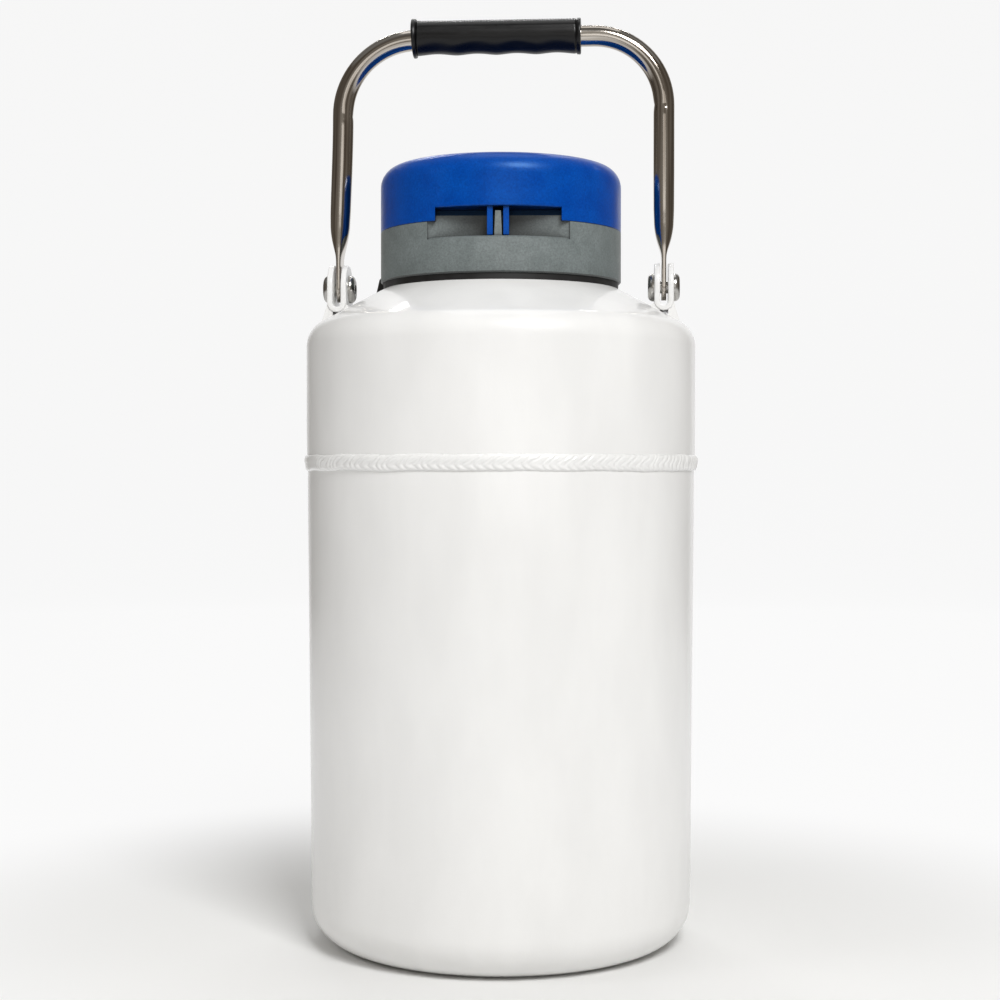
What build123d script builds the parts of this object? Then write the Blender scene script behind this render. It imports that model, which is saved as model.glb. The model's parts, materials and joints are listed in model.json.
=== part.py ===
from build123d import *

import os
from math import asin, cos, degrees, radians, sin, tan

# A hand-carried liquid nitrogen storage dewar. Lengths are in millimetres. The origin is at the
# middle of the base, +Z is up, the bail turns about an axis along X and the lock faces -Y.

# ---- Driving dimensions ----

# Jacket: a drawn can and a pressed shoulder, butted together and welded
can_radius = 111.0  # outside, at the girth weld
can_taper = 2.0  # how much narrower the can is above its base corner
shoulder_step = 0.5  # how far the shoulder's side stands out past the can's
jacket_wall = 2.0
weld_height = 273.5  # where the two halves meet
base_corner = 23.0
foot_width = 26.0  # flat ring that the dewar stands on
base_recess = 7.0  # rise of the domed middle of the base
shoulder_straight = 66.3  # upright wall above the weld
shoulder_corner = 16.0
shoulder_slope = 28.0  # degrees from level
bead_width = 8.8
bead_proud = 1.6

# Neck and its collar
neck_bore = 25.0  # radius
neck_wall = 2.0
collar_wall = 11.0  # from the neck tube out to the shoulder's mouth
collar_flange = 8.0  # how far the flange lies over the shoulder
collar_flange_thickness = 3.0
collar_lip = 4.0  # thickness of the lip round the neck's mouth
collar_skirt = 10.5  # depth of the collar below the shoulder's mouth

# Inner vessel
inner_radius = 76.0  # outside
inner_wall = 1.5
inner_floor_height = 44.0  # underside, above the ground
inner_height = 201.0
inner_corner = 20.0
inner_spout = 12.0  # height of the spout that grips the neck tube
inner_bead_width = 6.0
inner_bead_proud = 1.5
insulation_thickness = 8.0
insulation_gap = 0.5  # round the vessel's weld bead
adsorbent_width = 20.0
adsorbent_height = 8.0
adsorbent_clearance = 3.5  # from the spout

# Lid: a fixed ring, and a cover that lifts off it
ring_radius = 69.0
ring_wall = 3.0
ring_floor = 3.5
parting_rise = 10.316  # joint between ring and cover, above the neck's top
ring_rim_chamfer = 0.8
parting_chamfer = 0.35  # on both sides of the joint between ring and cover
ring_hole_clearance = 5.0  # round the collar's lip
spigot_height = 3.2
spigot_wall = 3.0
cover_wall = 3.0
cover_fit = 0.4  # between the spigot and the cover, all round
cover_straight = 25.6  # upright part of the cover's side
cover_corner = 12.0
cover_crown = 2.6  # rise of the top from its edge to its middle
gasket_inset = 1.5  # gasket edge inside the ring's edge
gasket_width = 5.5
gasket_step = 3.6  # gasket showing between shoulder and ring
gasket_tongue = 3.6  # part of the gasket that stands inside the ring
lid_plate_thickness = 2.5
lid_plate_gap = 0.5  # above the spigot
lid_foam_thickness = 17.0
lid_foam_inset = 3.0

# Lock: a pocket in the ring, a notch in the cover, and three ribs for a padlock
lock_turn = 2.65  # degrees from -Y towards +X
lock_depth = 13.0  # from the ring's side to the back of the pocket
pocket_width = 78.0
pocket_wall = 3.0
pocket_sill = 1.2  # pocket floor above the ring's floor
pocket_lip_chamfer = 1.0
notch_chamfer = 0.5
notch_width = 69.0
notch_height = 7.1
notch_wall = 2.5
notch_depth = 8.0  # how far the notch runs in behind the pocket's back
rib_length = 10.4  # front to back
middle_rib_thickness = 4.2
middle_rib_draft = 2.4  # degrees
middle_rib_rise = 1.4  # above the spigot
outer_rib_thickness = 3.0
rib_clearance = 0.8
rib_gap = 0.6  # under the outer ribs
lock_hole_radius = 3.0
lock_hole_rise = 4.7  # above the outer ribs' feet

# Neck plug, canisters and their index ring
plug_length = 105.0
plug_rod_gap = 0.8
plug_flange_width = 8.5
plug_flange_thickness = 5.5
index_ring_width = 12.0
index_ring_height = 7.0
index_slot_depth = 5.0
index_slot_clearance = 0.3  # each side of a rod
canister_count = 6
canister_radius = 19.0
canister_wall = 1.0
canister_height = 120.0
canister_gap = 8.0  # between neighbours
canister_floor_gap = 4.5
canister_tab_width = 5.0
canister_tab_height = 15.0
rod_radius = 1.0
rod_neck_gap = 0.7  # between a rod and the neck's wall
rod_hook_bend = 1.6
rod_hook_drop = 2.3
rod_hook_overhang = 2.0  # past the index ring

# Screws: M4 pan heads
screw_radius = 2.0
screw_head_radius = 3.8
screw_head_height = 2.4
ring_screw_edge = 4.0  # from the collar's edge to the middle of a screw
ring_screw_angle = 30.0
ring_screw_tip_gap = 0.5  # above the shoulder
lid_screw_circle = 50.0
lid_screw_angle = 90.0
lid_screw_length = 14.0
lid_boss_radius = 4.5
screw_count = 3

# Vacuum port
port_cap_gap = 1.5  # between the cap's foot and the lid's ring
port_angle = 149.0  # degrees from +X
port_stub_radius = 5.0
port_stub_wall = 2.0
port_stub_depth = 14.0  # below the jacket at the port
port_stub_rise = 14.5
port_plug_depth = 10.0
port_plug_head = 2.5
port_cap_radius = 11.5
port_cap_top_radius = 5.6
port_cap_wall = 3.0
port_cap_edge = 2.4  # rounding of its top

# Lugs, pivots and bail
lug_inset = 18.0  # from the shoulder's side to the middle of the lug
lug_thickness = 3.2
lug_gap = 4.6
lug_width = 27.6
lug_foot_gap = 1.0  # under the U, at its middle
lug_ear_height = 8.7  # pivot above the centre of the U
lug_weld_inset = 0.8  # from the lug's edges
lug_weld_outer = 6.5
lug_weld_inner = 2.0
lug_weld_height = 9.0
lug_weld_bite = 1.5  # below the shoulder's surface, before it is cut to fit
pivot_radius = 3.5
pivot_play = 0.05
pivot_head_radius = 8.0
pivot_head_height = 3.6
pivot_head_round = 2.9
pivot_drive_radius = 2.9  # corners of the hexagon socket
pivot_drive_depth = 2.0
pivot_screw_radius = 2.5
pivot_screw_depth = 8.0
bail_tube = 12.0  # diameter
bail_wall = 1.0
bail_reach = 144.2  # pivot to the middle of the bar
bail_bend = 37.0
bail_flat_thickness = 2.8
bail_flat_width = 15.2
bail_flat_end = 20.8  # pivot to where the flattening starts
bail_round_start = 66.0  # pivot to where the tube is round again
bail_pressing = ((20.0, 0.2, 0.3), (32.0, 1.4, 1.5), (40.2, 5.4, 2.8))  # below the round, thinner, wider
bail_edge_share = 0.49  # rounding of the pressed tube's section, of its thickness
grip_length = 97.0
grip_radius = 9.9
grip_flange_radius = 11.0
grip_flange_thickness = 2.8
grip_grooves = 4
grip_groove_depth = 1.0
grip_groove_share = 0.86  # of the pitch

# ---- Heights and radii that follow from them ----

slope = radians(shoulder_slope)
base_radius = can_radius - can_taper
shoulder_radius = can_radius + shoulder_step
foot_outer = base_radius - base_corner
foot_inner = foot_outer - foot_width
shoulder_wall_top = weld_height + shoulder_straight
corner_centre = shoulder_radius - shoulder_corner
cone_edge = corner_centre + shoulder_corner * sin(slope)
cone_edge_height = shoulder_wall_top + shoulder_corner * cos(slope)


def cone_height(radius):
    """Height of the shoulder's outer cone at this distance from the axis."""
    return cone_edge_height + (cone_edge - radius) * tan(slope)


def polar(radius, angle):
    """Point at this distance and angle, in degrees, from the dewar's axis."""
    return radius * cos(radians(angle)), radius * sin(radians(angle))


def dome(reach, rise):
    """Radius of a shallow dome, and the degrees from its top to its edge."""
    radius = (reach**2 + rise**2) / (2 * rise)
    return radius, degrees(asin(reach / radius))


neck_radius = neck_bore + neck_wall
mouth_radius = neck_radius + collar_wall
flange_radius = mouth_radius + collar_flange
mouth_height = cone_height(mouth_radius)
deck_height = mouth_height + collar_flange_thickness
neck_top = deck_height + ring_floor
lip_radius = neck_radius + collar_lip
ring_screw_circle = flange_radius - ring_screw_edge
ring_screw_end = cone_height(ring_screw_circle - screw_radius) + ring_screw_tip_gap

lock_back = ring_radius - lock_depth
gasket_radius = ring_radius - gasket_inset
ring_bottom = cone_height(gasket_radius) + gasket_step
parting_height = neck_top + parting_rise
spigot_radius = ring_radius - cover_wall - cover_fit
spigot_inner = spigot_radius - spigot_wall
spigot_top = parting_height + spigot_height
cover_corner_height = parting_height + cover_straight
cover_edge_height = cover_corner_height + cover_corner
lid_plate_bottom = spigot_top + lid_plate_gap
lid_plate_top = lid_plate_bottom + lid_plate_thickness
pocket_floor = neck_top + pocket_sill
notch_top = parting_height + notch_height
notch_back = lock_back - notch_depth
outer_rib_bottom = pocket_floor + rib_gap
outer_rib_inner = middle_rib_thickness / 2 + rib_clearance
lock_hole_height = outer_rib_bottom + lock_hole_rise
rib_middle = lock_back + rib_length / 2 + cover_fit
inner_top = inner_floor_height + inner_height
inner_seam = inner_floor_height + inner_height / 2

rod_circle = neck_bore - rod_neck_gap - rod_radius
plug_radius = rod_circle - rod_radius - plug_rod_gap
plug_flange = plug_radius + plug_flange_width
index_outer = neck_bore + index_ring_width
index_top = neck_top + index_ring_height
rod_top = index_top - index_slot_depth + rod_radius
canister_circle = (canister_radius + canister_gap / 2) / sin(radians(180 / canister_count))
canister_bottom = inner_floor_height + inner_wall + canister_floor_gap
canister_top = canister_bottom + canister_height

lug_middle = shoulder_radius - lug_inset
pivot_height = cone_height(lug_middle) + lug_foot_gap + lug_gap / 2 + lug_thickness + lug_ear_height
lug_centre = pivot_height - lug_ear_height
lug_outer = lug_gap / 2 + lug_thickness
bar_height = pivot_height + bail_reach
tube_radius = bail_tube / 2

lock_plane = Plane.XY.rotated((0, 0, lock_turn))
lock_upright = Plane.XZ.rotated((0, 0, lock_turn))
port_circle = ring_radius + port_cap_gap + port_cap_radius
port_x, port_y = polar(port_circle, port_angle)


def half_section(*points):
    """Closed outline of radius and height pairs, on the XZ plane."""
    with BuildSketch(Plane.XZ) as outline:
        with BuildLine():
            Polyline(*points, close=True)
        make_face()
    return outline.sketch


def broken_edge(height, rise, width):
    """Wedge that breaks the lid's outer edge above or below a cut-out of this width at the lock."""
    with BuildPart() as wedge:
        revolve(
            half_section(
                (ring_radius - abs(rise), height),
                (ring_radius + abs(rise), height),
                (ring_radius + abs(rise), height + 2 * rise),
            ),
            axis=Axis.Z,
        )
        with BuildSketch(lock_plane.offset(height - abs(rise))):
            Rectangle(width, 2 * ring_radius, align=(Align.CENTER, Align.MAX))
        extrude(amount=3 * abs(rise), mode=Mode.INTERSECT)
    return wedge


# ---- Jacket ----

with BuildPart() as outer_can:
    with BuildSketch(Plane.XZ):
        with BuildLine():
            inner_base_corner = base_corner - jacket_wall
            recess_radius, recess_angle = dome(foot_inner, base_recess)
            recess_centre = base_recess - recess_radius
            CenterArc((0, recess_centre), recess_radius, 90, -recess_angle)
            Line((foot_inner, 0), (foot_outer, 0))
            CenterArc((foot_outer, base_corner), base_corner, -90, 90)
            Line((base_radius, base_corner), (can_radius, weld_height))
            Line((can_radius, weld_height), (can_radius - jacket_wall, weld_height))
            Line((can_radius - jacket_wall, weld_height), (base_radius - jacket_wall, base_corner))
            CenterArc((foot_outer, base_corner), inner_base_corner, 0, -90)
            Line((foot_outer, jacket_wall), (foot_inner, jacket_wall))
            CenterArc((0, recess_centre + jacket_wall), recess_radius, 90, -recess_angle)
            Line((0, base_recess + jacket_wall), (0, base_recess))
        make_face()
    revolve(axis=Axis.Z)

with BuildPart() as outer_shoulder:
    with BuildSketch(Plane.XZ):
        with BuildLine():
            inner_corner_radius = shoulder_corner - jacket_wall
            arc_degrees = 90 - shoulder_slope
            inner_cone_edge = corner_centre + inner_corner_radius * sin(slope)
            inner_cone_edge_height = shoulder_wall_top + inner_corner_radius * cos(slope)
            inner_mouth_height = inner_cone_edge_height + (inner_cone_edge - mouth_radius) * tan(slope)
            inner_shoulder = shoulder_radius - jacket_wall
            Line((shoulder_radius, weld_height), (shoulder_radius, shoulder_wall_top))
            CenterArc((corner_centre, shoulder_wall_top), shoulder_corner, 0, arc_degrees)
            Line((cone_edge, cone_edge_height), (mouth_radius, mouth_height))
            Line((mouth_radius, mouth_height), (mouth_radius, inner_mouth_height))
            Line((mouth_radius, inner_mouth_height), (inner_cone_edge, inner_cone_edge_height))
            CenterArc((corner_centre, shoulder_wall_top), inner_corner_radius, arc_degrees, -arc_degrees)
            Line((inner_shoulder, shoulder_wall_top), (inner_shoulder, weld_height))
            Line((inner_shoulder, weld_height), (shoulder_radius, weld_height))
        make_face()
    revolve(axis=Axis.Z)
    with BuildSketch(Plane((port_x, port_y, shoulder_wall_top))):
        Circle(port_stub_radius)
    extrude(amount=mouth_height - shoulder_wall_top, mode=Mode.SUBTRACT)

# The space under the shoulder's outer skin, used to cut what is welded or laid on it
with BuildPart() as shoulder_core:
    with BuildSketch(Plane.XZ):
        with BuildLine():
            Line((0, weld_height), (shoulder_radius, weld_height))
            Line((shoulder_radius, weld_height), (shoulder_radius, shoulder_wall_top))
            CenterArc((corner_centre, shoulder_wall_top), shoulder_corner, 0, arc_degrees)
            Line((cone_edge, cone_edge_height), (0, cone_height(0)))
            Line((0, cone_height(0)), (0, weld_height))
        make_face()
    revolve(axis=Axis.Z)

with BuildPart() as girth_weld:
    with BuildSketch(Plane.XZ):
        with BuildLine():
            bead_foot = weld_height - bead_width / 2
            bead_head = weld_height + bead_width / 2
            taper_share = (weld_height - bead_foot) / (weld_height - base_corner)
            can_at_foot = can_radius - can_taper * taper_share
            Line((can_at_foot, bead_foot), (can_radius, weld_height))
            Line((can_radius, weld_height), (shoulder_radius, weld_height))
            Line((shoulder_radius, weld_height), (shoulder_radius, bead_head))
            ThreePointArc(
                (shoulder_radius, bead_head),
                (shoulder_radius + bead_proud, weld_height),
                (can_at_foot, bead_foot),
            )
        make_face()
    revolve(axis=Axis.Z)

# ---- Neck and inner vessel ----

with BuildPart() as neck_collar:
    revolve(
        half_section(
            (neck_radius, mouth_height - collar_skirt),
            (mouth_radius, mouth_height - collar_skirt),
            (mouth_radius, mouth_height),
            (flange_radius, cone_height(flange_radius)),
            (flange_radius, deck_height),
            (lip_radius, deck_height),
            (lip_radius, neck_top),
            (neck_radius, neck_top),
        ),
        axis=Axis.Z,
    )
    with BuildSketch(Plane.XY.offset(deck_height)):
        with PolarLocations(ring_screw_circle, screw_count, ring_screw_angle):
            Circle(screw_radius)
    extrude(amount=ring_screw_end - deck_height, mode=Mode.SUBTRACT)

with BuildPart() as neck_tube:
    revolve(
        half_section(
            (neck_bore, inner_top - inner_wall),
            (neck_radius, inner_top - inner_wall),
            (neck_radius, neck_top),
            (neck_bore, neck_top),
        ),
        axis=Axis.Z,
    )

with BuildPart() as inner_can:
    with BuildSketch(Plane.XZ):
        with BuildLine():
            corner_radius = inner_radius - inner_corner
            bore = inner_radius - inner_wall
            corner_height = inner_floor_height + inner_corner
            Line((0, inner_floor_height), (corner_radius, inner_floor_height))
            CenterArc((corner_radius, corner_height), inner_corner, -90, 90)
            Line((inner_radius, corner_height), (inner_radius, inner_seam))
            Line((inner_radius, inner_seam), (bore, inner_seam))
            Line((bore, inner_seam), (bore, corner_height))
            CenterArc((corner_radius, corner_height), inner_corner - inner_wall, 0, -90)
            Line((corner_radius, inner_floor_height + inner_wall), (0, inner_floor_height + inner_wall))
            Line((0, inner_floor_height + inner_wall), (0, inner_floor_height))
        make_face()
    revolve(axis=Axis.Z)

with BuildPart() as inner_dome:
    with BuildSketch(Plane.XZ):
        with BuildLine():
            spout_radius = neck_radius + inner_wall
            spout_top = inner_top + inner_spout
            shoulder_height = inner_top - inner_corner
            Line((bore, inner_seam), (inner_radius, inner_seam))
            Line((inner_radius, inner_seam), (inner_radius, shoulder_height))
            CenterArc((corner_radius, shoulder_height), inner_corner, 0, 90)
            Line((corner_radius, inner_top), (spout_radius, inner_top))
            Line((spout_radius, inner_top), (spout_radius, spout_top))
            Line((spout_radius, spout_top), (neck_radius, spout_top))
            Line((neck_radius, spout_top), (neck_radius, inner_top - inner_wall))
            Line((neck_radius, inner_top - inner_wall), (corner_radius, inner_top - inner_wall))
            CenterArc((corner_radius, shoulder_height), inner_corner - inner_wall, 90, -90)
            Line((bore, shoulder_height), (bore, inner_seam))
        make_face()
    revolve(axis=Axis.Z)

with BuildPart() as inner_weld:
    with BuildSketch(Plane.XZ):
        with BuildLine():
            low, high = inner_seam - inner_bead_width / 2, inner_seam + inner_bead_width / 2
            Line((inner_radius, high), (inner_radius, low))
            ThreePointArc(
                (inner_radius, low), (inner_radius + inner_bead_proud, inner_seam), (inner_radius, high)
            )
        make_face()
    revolve(axis=Axis.Z)

with BuildPart() as insulation_wrap:
    wrap_inner = inner_radius + inner_bead_proud + insulation_gap
    wrap_outer = wrap_inner + insulation_thickness
    wrap_top = inner_top + insulation_thickness
    wrap_bottom = inner_floor_height - insulation_thickness
    revolve(
        half_section(
            (0, wrap_bottom),
            (wrap_outer, wrap_bottom),
            (wrap_outer, wrap_top),
            (spout_radius, wrap_top),
            (spout_radius, inner_top),
            (wrap_inner, inner_top),
            (wrap_inner, inner_floor_height),
            (0, inner_floor_height),
        ),
        axis=Axis.Z,
    )
    outer_rims = edges().filter_by(GeomType.CIRCLE).group_by(SortBy.RADIUS)[-1]
    fillet(outer_rims, insulation_thickness)

with BuildPart() as adsorbent_ring:
    tray_inner = spout_radius + adsorbent_clearance
    revolve(
        half_section(
            (tray_inner, wrap_top),
            (tray_inner + adsorbent_width, wrap_top),
            (tray_inner + adsorbent_width, wrap_top + adsorbent_height),
            (tray_inner, wrap_top + adsorbent_height),
        ),
        axis=Axis.Z,
    )

# ---- Gasket and lid ring ----

with BuildPart() as base_gasket:
    tongue_outer = ring_radius - ring_wall
    gasket_inner = gasket_radius - gasket_width
    revolve(
        half_section(
            (gasket_radius, cone_height(gasket_radius)),
            (gasket_radius, ring_bottom),
            (tongue_outer, ring_bottom),
            (tongue_outer, ring_bottom + gasket_tongue),
            (gasket_inner, ring_bottom + gasket_tongue),
            (gasket_inner, cone_height(gasket_inner)),
        ),
        axis=Axis.Z,
    )

pocket_lip = broken_edge(pocket_floor, -pocket_lip_chamfer, pocket_width)
with BuildPart() as lid_base_ring:
    ring_hole = lip_radius + ring_hole_clearance
    revolve(
        half_section(
            (ring_radius - ring_rim_chamfer, ring_bottom),
            (ring_radius, ring_bottom + ring_rim_chamfer),
            (ring_radius, parting_height - parting_chamfer),
            (ring_radius - parting_chamfer, parting_height),
            (spigot_radius, parting_height),
            (spigot_radius, spigot_top),
            (spigot_inner, spigot_top),
            (spigot_inner, neck_top),
            (ring_hole, neck_top),
            (ring_hole, deck_height),
            (tongue_outer, deck_height),
            (tongue_outer, ring_bottom),
        ),
        axis=Axis.Z,
    )
    # Housing of the lock pocket, then the pocket itself, open to the front and the top
    with BuildSketch(lock_plane.offset(neck_top)):
        Circle(spigot_radius)
        with Locations((0, pocket_wall - lock_back)):
            Rectangle(
                pocket_width + 2 * pocket_wall,
                ring_radius,
                align=(Align.CENTER, Align.MAX),
                mode=Mode.INTERSECT,
            )
    extrude(amount=spigot_top - neck_top)
    with BuildSketch(lock_plane.offset(pocket_floor)):
        with Locations((0, -lock_back)):
            Rectangle(pocket_width, ring_radius, align=(Align.CENTER, Align.MAX))
    extrude(amount=spigot_top - pocket_floor, mode=Mode.SUBTRACT)
    add(pocket_lip.part, mode=Mode.SUBTRACT)
    with BuildSketch(lock_upright.offset(lock_back)):
        with Locations((0, pocket_floor)):
            Trapezoid(
                middle_rib_thickness,
                spigot_top + middle_rib_rise - pocket_floor,
                90 - middle_rib_draft,
                align=(Align.CENTER, Align.MIN),
            )
    extrude(amount=rib_length)
    with BuildSketch(Plane.YZ.rotated((0, 0, lock_turn))):
        with Locations((-rib_middle, lock_hole_height)):
            Circle(lock_hole_radius)
    extrude(amount=middle_rib_thickness, both=True, mode=Mode.SUBTRACT)
    with BuildSketch(Plane.XY.offset(deck_height)):
        with PolarLocations(ring_screw_circle, screw_count, ring_screw_angle):
            Circle(screw_radius)
    extrude(amount=ring_floor, mode=Mode.SUBTRACT)


def pan_head_screws(seat, circle, start_angle, length, direction):
    """Three screws whose heads sit at this height and whose shanks run in this direction."""
    with BuildPart() as screws:
        with BuildSketch(Plane.XY.offset(seat)):
            with PolarLocations(circle, screw_count, start_angle):
                Circle(screw_head_radius)
        extrude(amount=-direction * screw_head_height)
        outer_faces = faces().filter_by(GeomType.PLANE).sort_by(Axis.Z, reverse=direction < 0)
        fillet(outer_faces[-screw_count:].edges(), screw_head_height / 2)
        with BuildSketch(Plane.XY.offset(seat)):
            with PolarLocations(circle, screw_count, start_angle):
                Circle(screw_radius)
        extrude(amount=direction * length)
    return screws


base_ring_screws = pan_head_screws(
    neck_top, ring_screw_circle, ring_screw_angle, neck_top - ring_screw_end, -1
)

# ---- Canisters, their rods and the index ring ----

with BuildPart() as canister_index_ring:
    revolve(
        half_section(
            (neck_bore, neck_top),
            (index_outer, neck_top),
            (index_outer, index_top),
            (neck_bore, index_top),
        ),
        axis=Axis.Z,
    )
    slot_width = 2 * (rod_radius + index_slot_clearance)
    with BuildSketch(Plane.XY.offset(index_top - index_slot_depth)):
        with PolarLocations(neck_bore + index_ring_width / 2, canister_count):
            Rectangle(2 * index_ring_width, slot_width)
    extrude(amount=index_slot_depth, mode=Mode.SUBTRACT)

canisters = {}
canister_rods = {}
for number in range(1, canister_count + 1):
    angle = (number - 1) * 360 / canister_count
    spoke = Plane.XY.rotated((0, 0, angle))
    upright = Plane.XZ.rotated((0, 0, angle))
    with BuildPart() as canister:
        with BuildSketch(spoke.offset(canister_bottom)):
            with Locations((canister_circle, 0)):
                Circle(canister_radius)
        extrude(amount=canister_height)
        with BuildSketch(spoke.offset(canister_top - canister_tab_height)):
            with Locations((canister_circle - canister_radius + canister_wall / 2, 0)):
                tab_reach = canister_circle - canister_radius + canister_wall / 2 - rod_circle + rod_radius
                Rectangle(tab_reach, canister_tab_width, align=(Align.MAX, Align.CENTER))
        extrude(amount=canister_tab_height)
        with BuildSketch(spoke.offset(canister_bottom + canister_wall)):
            with Locations((canister_circle, 0)):
                Circle(canister_radius - canister_wall)
        extrude(amount=canister_height - canister_wall, mode=Mode.SUBTRACT)
    canisters[f"canister_{number}"] = canister

    with BuildPart() as canister_rod:
        with BuildLine(upright) as route:
            hook_out = index_outer + rod_hook_overhang
            FilletPolyline(
                (rod_circle, canister_top),
                (rod_circle, rod_top),
                (hook_out, rod_top),
                (hook_out, rod_top - rod_hook_drop),
                radius=rod_hook_bend,
            )
        with BuildSketch(spoke.offset(canister_top)):
            with Locations((rod_circle, 0)):
                Circle(rod_radius)
        sweep(path=route.line)
    canister_rods[f"canister_rod_{number}"] = canister_rod

# ---- Cover, its plate and foam, and the neck plug ----

notch_edge = broken_edge(notch_top, notch_chamfer, notch_width)
with BuildPart() as lid_cover:
    with BuildSketch(Plane.XZ):
        with BuildLine():
            flat_edge = ring_radius - cover_corner
            cover_bore = ring_radius - cover_wall
            cover_side_bottom = parting_height + parting_chamfer
            crown_top = cover_edge_height + cover_crown
            crown_radius, crown_angle = dome(flat_edge, cover_crown)
            crown_centre = crown_top - crown_radius
            Line((cover_bore, parting_height), (ring_radius - parting_chamfer, parting_height))
            Line((ring_radius - parting_chamfer, parting_height), (ring_radius, cover_side_bottom))
            Line((ring_radius, cover_side_bottom), (ring_radius, cover_corner_height))
            CenterArc((flat_edge, cover_corner_height), cover_corner, 0, 90)
            CenterArc((0, crown_centre), crown_radius, 90, -crown_angle)
            Line((0, crown_top), (0, crown_top - cover_wall))
            CenterArc((0, crown_centre - cover_wall), crown_radius, 90, -crown_angle)
            CenterArc((flat_edge, cover_corner_height), cover_corner - cover_wall, 90, -90)
            Line((cover_bore, cover_corner_height), (cover_bore, parting_height))
        make_face()
    revolve(axis=Axis.Z)
    # Roof and back wall behind the lock notch
    with BuildSketch(lock_plane.offset(notch_top)):
        Circle(ring_radius - cover_wall / 2)
        with Locations((0, notch_wall - notch_back)):
            Rectangle(
                notch_width + 2 * notch_wall,
                ring_radius,
                align=(Align.CENTER, Align.MAX),
                mode=Mode.INTERSECT,
            )
    extrude(amount=notch_wall)
    back_wall_bottom = spigot_top + cover_fit
    with BuildSketch(lock_plane.offset(back_wall_bottom)):
        Circle(ring_radius - cover_wall / 2)
        with Locations((0, notch_wall - notch_back)):
            Rectangle(
                notch_width + 2 * notch_wall,
                notch_wall - cover_fit,
                align=(Align.CENTER, Align.MAX),
                mode=Mode.INTERSECT,
            )
    extrude(amount=notch_top - back_wall_bottom)
    with BuildSketch(lock_plane.offset(parting_height)):
        with Locations((0, -notch_back)):
            Rectangle(notch_width, ring_radius, align=(Align.CENTER, Align.MAX))
    extrude(amount=notch_height, mode=Mode.SUBTRACT)
    add(notch_edge.part, mode=Mode.SUBTRACT)
    # Two ribs hang from the roof, one each side of the ring's own rib
    with BuildSketch(lock_plane.offset(outer_rib_bottom)):
        rib_offset = outer_rib_inner + outer_rib_thickness / 2
        with Locations((-rib_offset, -rib_middle), (rib_offset, -rib_middle)):
            Rectangle(outer_rib_thickness, rib_length)
    extrude(amount=notch_top + notch_wall / 2 - outer_rib_bottom)
    with BuildSketch(Plane.YZ.rotated((0, 0, lock_turn))):
        with Locations((-rib_middle, lock_hole_height)):
            Circle(lock_hole_radius)
    extrude(amount=2 * rib_offset, both=True, mode=Mode.SUBTRACT)
    # Screw bosses under the crown
    with BuildSketch(Plane.XY.offset(lid_plate_top)):
        with PolarLocations(lid_screw_circle, screw_count, lid_screw_angle):
            Circle(lid_boss_radius)
    extrude(amount=cover_edge_height - cover_wall / 2 - lid_plate_top)
    with BuildSketch(Plane.XY.offset(lid_plate_top)):
        with PolarLocations(lid_screw_circle, screw_count, lid_screw_angle):
            Circle(screw_radius)
    extrude(amount=lid_screw_length - lid_plate_thickness, mode=Mode.SUBTRACT)


def lid_disc(bottom, thickness, radius, hole_radius):
    """Disc inside the cover, flattened behind the lock notch and holed at the screws."""
    with BuildPart() as disc:
        with BuildSketch(lock_plane.offset(bottom)):
            Circle(radius)
            with Locations((0, notch_wall + cover_fit - notch_back)):
                Rectangle(
                    2 * radius, 2 * radius, align=(Align.CENTER, Align.MIN), mode=Mode.INTERSECT
                )
        extrude(amount=thickness)
        with BuildSketch(Plane.XY.offset(bottom)):
            with PolarLocations(lid_screw_circle, screw_count, lid_screw_angle):
                Circle(hole_radius)
        extrude(amount=thickness, mode=Mode.SUBTRACT)
    return disc


lid_inner_plate = lid_disc(lid_plate_bottom, lid_plate_thickness, cover_bore - cover_fit, screw_radius)
lid_foam = lid_disc(lid_plate_top, lid_foam_thickness, cover_bore - lid_foam_inset, lid_boss_radius)
lid_screws = pan_head_screws(
    lid_plate_bottom, lid_screw_circle, lid_screw_angle, lid_screw_length, 1
)

with BuildPart() as neck_plug:
    flange_bottom = lid_plate_bottom - plug_flange_thickness
    revolve(
        half_section(
            (0, lid_plate_bottom - plug_length),
            (plug_radius, lid_plate_bottom - plug_length),
            (plug_radius, flange_bottom),
            (plug_flange, flange_bottom),
            (plug_flange, lid_plate_bottom),
            (0, lid_plate_bottom),
        ),
        axis=Axis.Z,
    )

# ---- Vacuum port ----

port_height = cone_height(port_circle)
stub_bottom = port_height - port_stub_depth
stub_top = port_height + port_stub_rise
port_plane = Plane((port_x, port_y, 0))

with BuildPart() as vacuum_port_stub:
    with BuildSketch(port_plane.offset(stub_bottom)):
        Circle(port_stub_radius)
        Circle(port_stub_radius - port_stub_wall, mode=Mode.SUBTRACT)
    extrude(amount=stub_top - stub_bottom)

with BuildPart() as vacuum_port_plug:
    with BuildSketch(port_plane.offset(stub_top)):
        Circle(port_stub_radius)
    extrude(amount=port_plug_head)
    with BuildSketch(port_plane.offset(stub_top)):
        Circle(port_stub_radius - port_stub_wall)
    extrude(amount=-port_plug_depth)

with BuildPart() as vacuum_port_cap:
    cap_foot = cone_height(port_circle + port_cap_radius)
    cap_top = stub_top + port_plug_head + port_cap_wall
    for height, radius in ((cap_foot, port_cap_radius), (cap_top, port_cap_top_radius)):
        with BuildSketch(port_plane.offset(height)):
            Circle(radius)
    loft()
    fillet(edges().group_by(Axis.Z)[-1], port_cap_edge)
    with BuildSketch(port_plane.offset(cap_foot)):
        Circle(port_stub_radius)
    extrude(amount=stub_top + port_plug_head - cap_foot, mode=Mode.SUBTRACT)
    add(shoulder_core.part, mode=Mode.SUBTRACT)

# ---- Lugs and pivots, made at +X ----

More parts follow.
